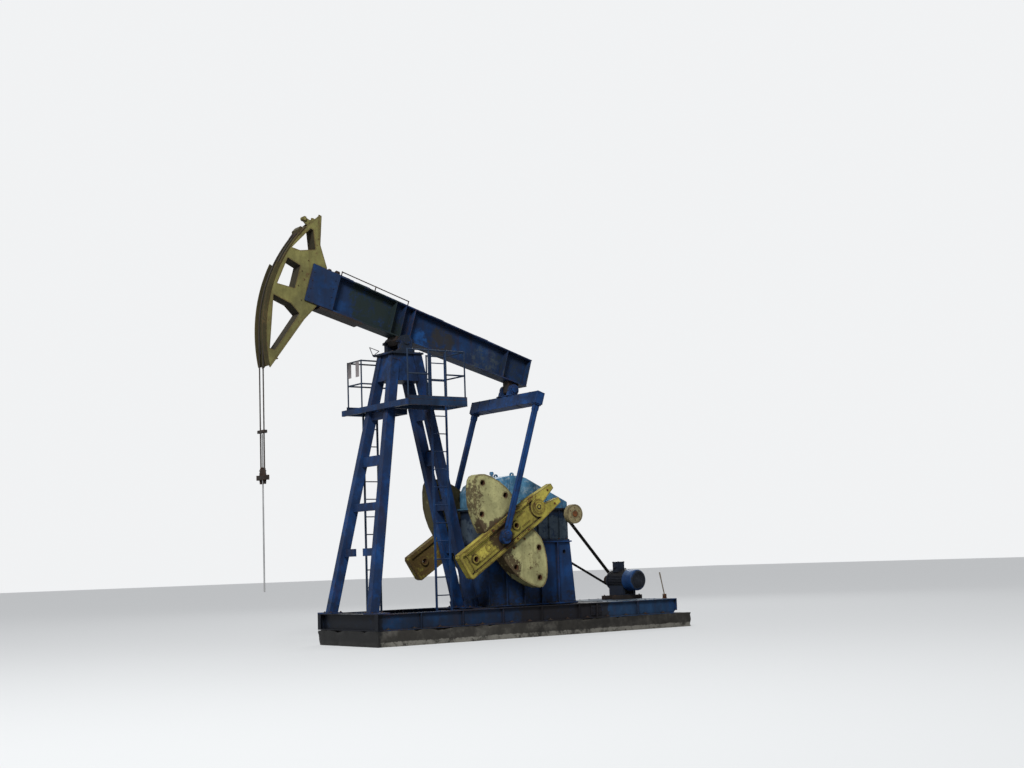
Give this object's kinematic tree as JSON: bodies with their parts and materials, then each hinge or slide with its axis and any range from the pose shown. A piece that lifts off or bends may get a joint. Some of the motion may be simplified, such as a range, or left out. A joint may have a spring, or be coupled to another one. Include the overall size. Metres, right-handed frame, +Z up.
{
  "type": "beam pumping unit",
  "caption": "Oil-well beam pump: walking beam with curved horsehead on a legged post, turned by cranks with counterweights, a gearbox and a belt-driven motor on a concrete plinth.",
  "frame": {"origin": "underside of the plinth, straight below the saddle shaft, on the middle plane", "axes": "X runs from the well side to the motor side, Y across the machine, Z up"},
  "size_m": [10.0683, 2.62, 8.7509],
  "materials": {
    "concrete": "rough, oil-stained",
    "blue_paint": "worn gloss with rust",
    "head_paint": "faded yellow with rust",
    "crank_paint": "faded yellow with rust",
    "weight_paint": "painted casting, chipped",
    "case_paint": "painted casting, streaked",
    "dark_steel": "oily, rusty",
    "bright_steel": "polished",
    "belt_rubber": "matte",
    "drum_paint": "cream paint, rusty",
    "motor_paint": "dull, dusty"
  },
  "bodies": {
    "base": {"plinth": "concrete", "base_beam_near": "blue_paint", "base_beam_far": "blue_paint", "front_cross_beam": "blue_paint", "mid_cross_beam": "blue_paint", "rear_cross_beam": "blue_paint", "inner_beams": "blue_paint", "motor_skid": "blue_paint", "front_leg_near": "blue_paint", "front_leg_far": "blue_paint", "rear_leg_near": "blue_paint", "rear_leg_far": "blue_paint", "front_braces": "blue_paint", "rear_braces": "blue_paint", "post_head": "blue_paint", "saddle_bearings": "blue_paint", "gear_pedestal": "blue_paint", "gearbox_case": "blue_paint", "gearbox_cover": "case_paint", "drive_belts": "belt_rubber", "motor": "motor_paint", "motor_rails": "dark_steel", "lever_bracket": "dark_steel", "front_platform_beam": "blue_paint", "near_platform": "blue_paint", "far_platform": "blue_paint", "near_railing": "dark_steel", "far_railing": "dark_steel", "ladder": "blue_paint"},
    "beam": {"walking_beam": "blue_paint", "beam_cheeks": "blue_paint", "beam_doubler": "dark_steel", "beam_rail": "dark_steel", "saddle_shaft": "dark_steel", "head_plates": "head_paint", "head_arc_plate": "dark_steel", "head_liners": "head_paint", "rope_wraps": "dark_steel", "tail_shaft": "dark_steel"},
    "equalizer": {"equalizer_beam": "blue_paint", "pitman_near": "blue_paint", "pitman_far": "blue_paint"},
    "hanger": {"bridle_ropes": "dark_steel", "carrier_bar": "dark_steel", "rod_clamp": "dark_steel", "polished_rod": "bright_steel", "rope_spreader": "dark_steel"},
    "crank": {"crankshaft": "dark_steel", "crank_near": "crank_paint", "crank_far": "crank_paint", "weight_near_upper": "weight_paint", "weight_near_lower": "weight_paint", "weight_far_upper": "weight_paint", "weight_far_lower": "weight_paint"},
    "drive_shaft": {"input_shaft": "dark_steel", "brake_drum": "drum_paint", "large_sheave": "blue_paint"},
    "pulley": {"motor_pulley": "dark_steel"},
    "lever": {"brake_lever": "dark_steel"}
  },
  "joints": [
    {"name": "beam_rock", "type": "hinge", "parent": "base", "child": "beam", "pos_m": [0, 0, 6.234], "axis": [0, 1, 0], "range_deg": [-37.25, 7.25]},
    {"name": "equalizer_swing", "type": "hinge", "parent": "beam", "child": "equalizer", "pos_m": [2.845, 0, 5.33], "axis": [0, 1, 0], "range_deg": [-26.4, 20.4]},
    {"name": "rod_stroke", "type": "slide", "parent": "base", "child": "hanger", "axis": [0, 0, 1], "range_m": [-2.1, 0.42], "deforming": ["bridle_ropes"]},
    {"name": "crank_turn", "type": "hinge", "parent": "base", "child": "crank", "pos_m": [2.752, 0, 2.717], "axis": [0, 1, 0], "range_deg": [-123.8, 24]},
    {"name": "drive_shaft_turn", "type": "hinge", "parent": "base", "child": "drive_shaft", "pos_m": [4.02, 0, 2.575], "axis": [0, 1, 0], "continuous": true},
    {"name": "pulley_turn", "type": "hinge", "parent": "base", "child": "pulley", "pos_m": [6, 0, 1.07], "axis": [0, 1, 0], "continuous": true},
    {"name": "brake_lever_pull", "type": "hinge", "parent": "base", "child": "lever", "pos_m": [6.36, -0.88, 0.71], "axis": [0, 1, 0], "range_deg": [0, 35]}
  ],
  "couplings": [
    {"joint": "beam_rock", "follows": "crank_turn", "ratio": 0.3005},
    {"joint": "equalizer_swing", "follows": "crank_turn", "ratio": -0.162},
    {"joint": "rod_stroke", "follows": "crank_turn", "m_per_rad": 0.9569},
    {"joint": "drive_shaft_turn", "follows": "crank_turn", "ratio": 28},
    {"joint": "pulley_turn", "follows": "crank_turn", "ratio": 132.62}
  ]
}
